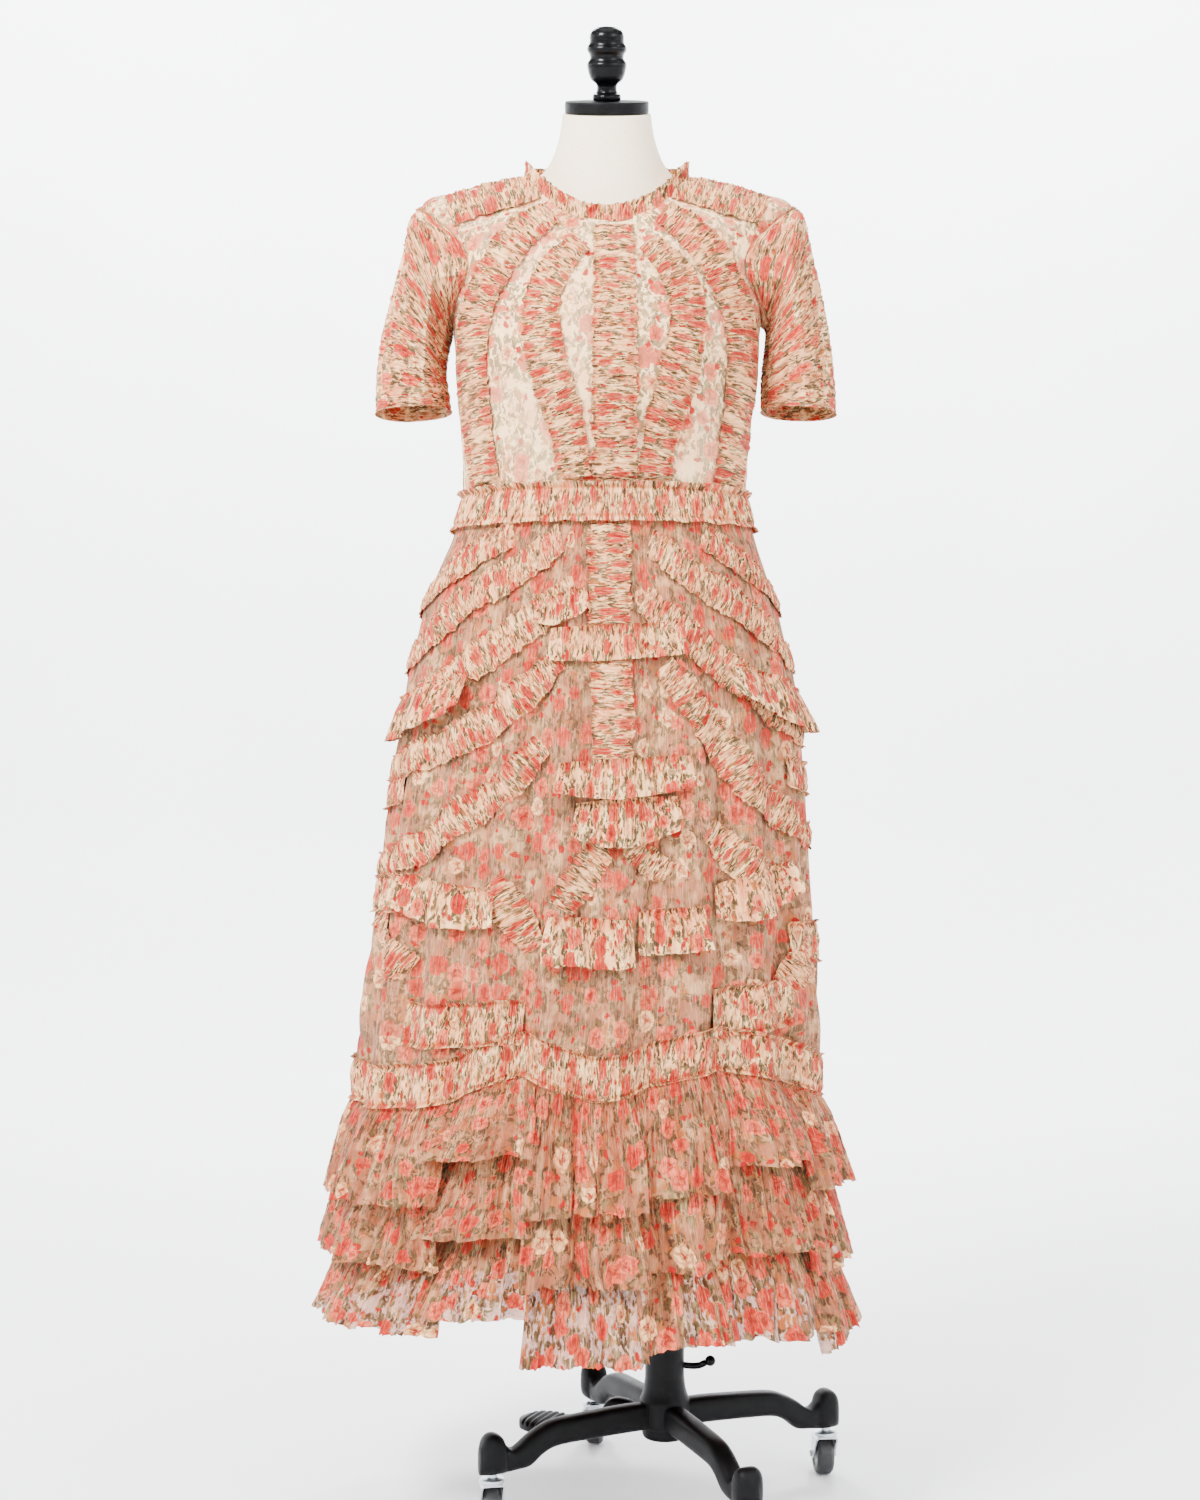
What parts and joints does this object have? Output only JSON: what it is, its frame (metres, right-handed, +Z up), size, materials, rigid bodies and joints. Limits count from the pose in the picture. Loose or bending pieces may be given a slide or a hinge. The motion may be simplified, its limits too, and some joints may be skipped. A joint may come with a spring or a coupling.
{
  "type": "midi dress on a limbless dress form with caster stand",
  "caption": "Short-sleeved floral tulle midi dress with ruched bands, ruffles and pleated tiers, on a limbless dress form with a height-adjustable caster stand.",
  "frame": {"origin": "on the floor, under the middle of the dress's hem", "axes": "+Z up, -Y the front of the dress, +X towards the wearer's left side, which is the picture's right"},
  "size_m": [0.6358, 0.5057, 1.7282],
  "materials": {
    "tulle": "matte floral tulle over a pale lining",
    "tulle_ruched": "matte floral tulle, gathered",
    "tulle_tier": "matte floral tulle, pleated",
    "linen": "matte cream linen",
    "black_paint": "satin black",
    "black_cast": "satin black paint on cast iron",
    "black_gloss": "gloss black",
    "zinc": "bright zinc",
    "rubber": "matte black rubber"
  },
  "bodies": {
    "base": {"base": "black_cast"},
    "pole": {"pole": "black_paint"},
    "form": {"torso": "linen", "neck_cap": "black_paint", "finial": "black_gloss", "bodice_front": "tulle", "bodice_back_left": "tulle", "bodice_back_right": "tulle", "strip_bodice": "tulle_ruched", "strip_skirt": "tulle_ruched", "shoulder_band_left": "tulle_ruched", "shoulder_band_right": "tulle_ruched", "yoke_band_left": "tulle_ruched", "yoke_band_right": "tulle_ruched", "ray_inner_left": "tulle_ruched", "ray_inner_right": "tulle_ruched", "collar_ruffle": "tulle_ruched", "sleeve_left": "tulle_ruched", "sleeve_right": "tulle_ruched", "waistband": "tulle_ruched", "skirt_front": "tulle", "skirt_back": "tulle", "ruffle_upper": "tulle_ruched", "ruffle_middle": "tulle_ruched", "ruffle_low_left": "tulle_ruched", "ruffle_low_right": "tulle_ruched", "ruffle_side_left": "tulle_ruched", "ruffle_side_right": "tulle_ruched", "heading_band": "tulle_ruched", "tier1_left": "tulle_tier", "tier1_centre": "tulle_tier", "tier1_second": "tulle_tier", "tier1_right": "tulle_tier", "tier1_back": "tulle_tier", "tier2_left": "tulle_tier", "tier2_centre": "tulle_tier", "tier2_second": "tulle_tier", "tier2_right": "tulle_tier", "tier2_back": "tulle_tier", "tier3_left": "tulle_tier", "tier3_centre": "tulle_tier", "tier3_second": "tulle_tier", "tier3_right": "tulle_tier", "tier3_back": "tulle_tier"},
    "caster_right": {"fork_right": "zinc"},
    "caster_back": {"fork_back": "zinc"},
    "caster_left": {"fork_left": "zinc"},
    "caster_front": {"fork_front": "zinc"},
    "roller_right": {"wheel_right": "rubber"},
    "roller_back": {"wheel_back": "rubber"},
    "roller_left": {"wheel_left": "rubber"},
    "roller_front": {"wheel_front": "rubber"},
    "pedal": {"pedal": "black_cast"},
    "lever": {"lever": "black_gloss"}
  },
  "joints": [
    {"name": "height_slide", "type": "slide", "parent": "base", "child": "pole", "axis": [0, 0, 1], "range_m": [-0.09, 0.15]},
    {"name": "form_turn", "type": "hinge", "parent": "pole", "child": "form", "pos_m": [0.092, 0, 0.8], "axis": [0, 0, 1], "continuous": true},
    {"name": "swivel_right", "type": "hinge", "parent": "base", "child": "caster_right", "pos_m": [0.29037, 0.0842, 0.06], "axis": [0, 0, 1], "continuous": true},
    {"name": "swivel_back", "type": "hinge", "parent": "base", "child": "caster_back", "pos_m": [0.0078, 0.19837, 0.06], "axis": [0, 0, 1], "continuous": true},
    {"name": "swivel_left", "type": "hinge", "parent": "base", "child": "caster_left", "pos_m": [-0.10637, -0.0842, 0.06], "axis": [0, 0, 1], "continuous": true},
    {"name": "swivel_front", "type": "hinge", "parent": "base", "child": "caster_front", "pos_m": [0.1762, -0.19837, 0.06], "axis": [0, 0, 1], "continuous": true},
    {"name": "roll_right", "type": "hinge", "parent": "caster_right", "child": "roller_right", "pos_m": [0.2888, 0.10214, 0.025], "axis": [-0.9962, -0.0872, 0], "continuous": true},
    {"name": "roll_back", "type": "hinge", "parent": "caster_back", "child": "roller_back", "pos_m": [0.00968, 0.21627, 0.025], "axis": [-0.9945, 0.1045, 0], "continuous": true},
    {"name": "roll_left", "type": "hinge", "parent": "caster_left", "child": "roller_left", "pos_m": [-0.10949, -0.06648, 0.025], "axis": [-0.9848, -0.1736, 0], "continuous": true},
    {"name": "roll_front", "type": "hinge", "parent": "caster_front", "child": "roller_front", "pos_m": [0.17933, -0.18064, 0.025], "axis": [-0.9848, 0.1736, 0], "continuous": true},
    {"name": "pedal_hinge", "type": "hinge", "parent": "base", "child": "pedal", "pos_m": [0.06234, 0.01447, 0.086], "axis": [-0.4384, -0.8988, 0], "range_deg": [0, 8], "stiffness_Nm_per_rad": 6, "springref_deg": -5.73},
    {"name": "lever_turn", "type": "hinge", "parent": "base", "child": "lever", "pos_m": [0.1153, 0, 0.1615], "axis": [1, 0, 0], "range_deg": [-40, 40]}
  ]
}
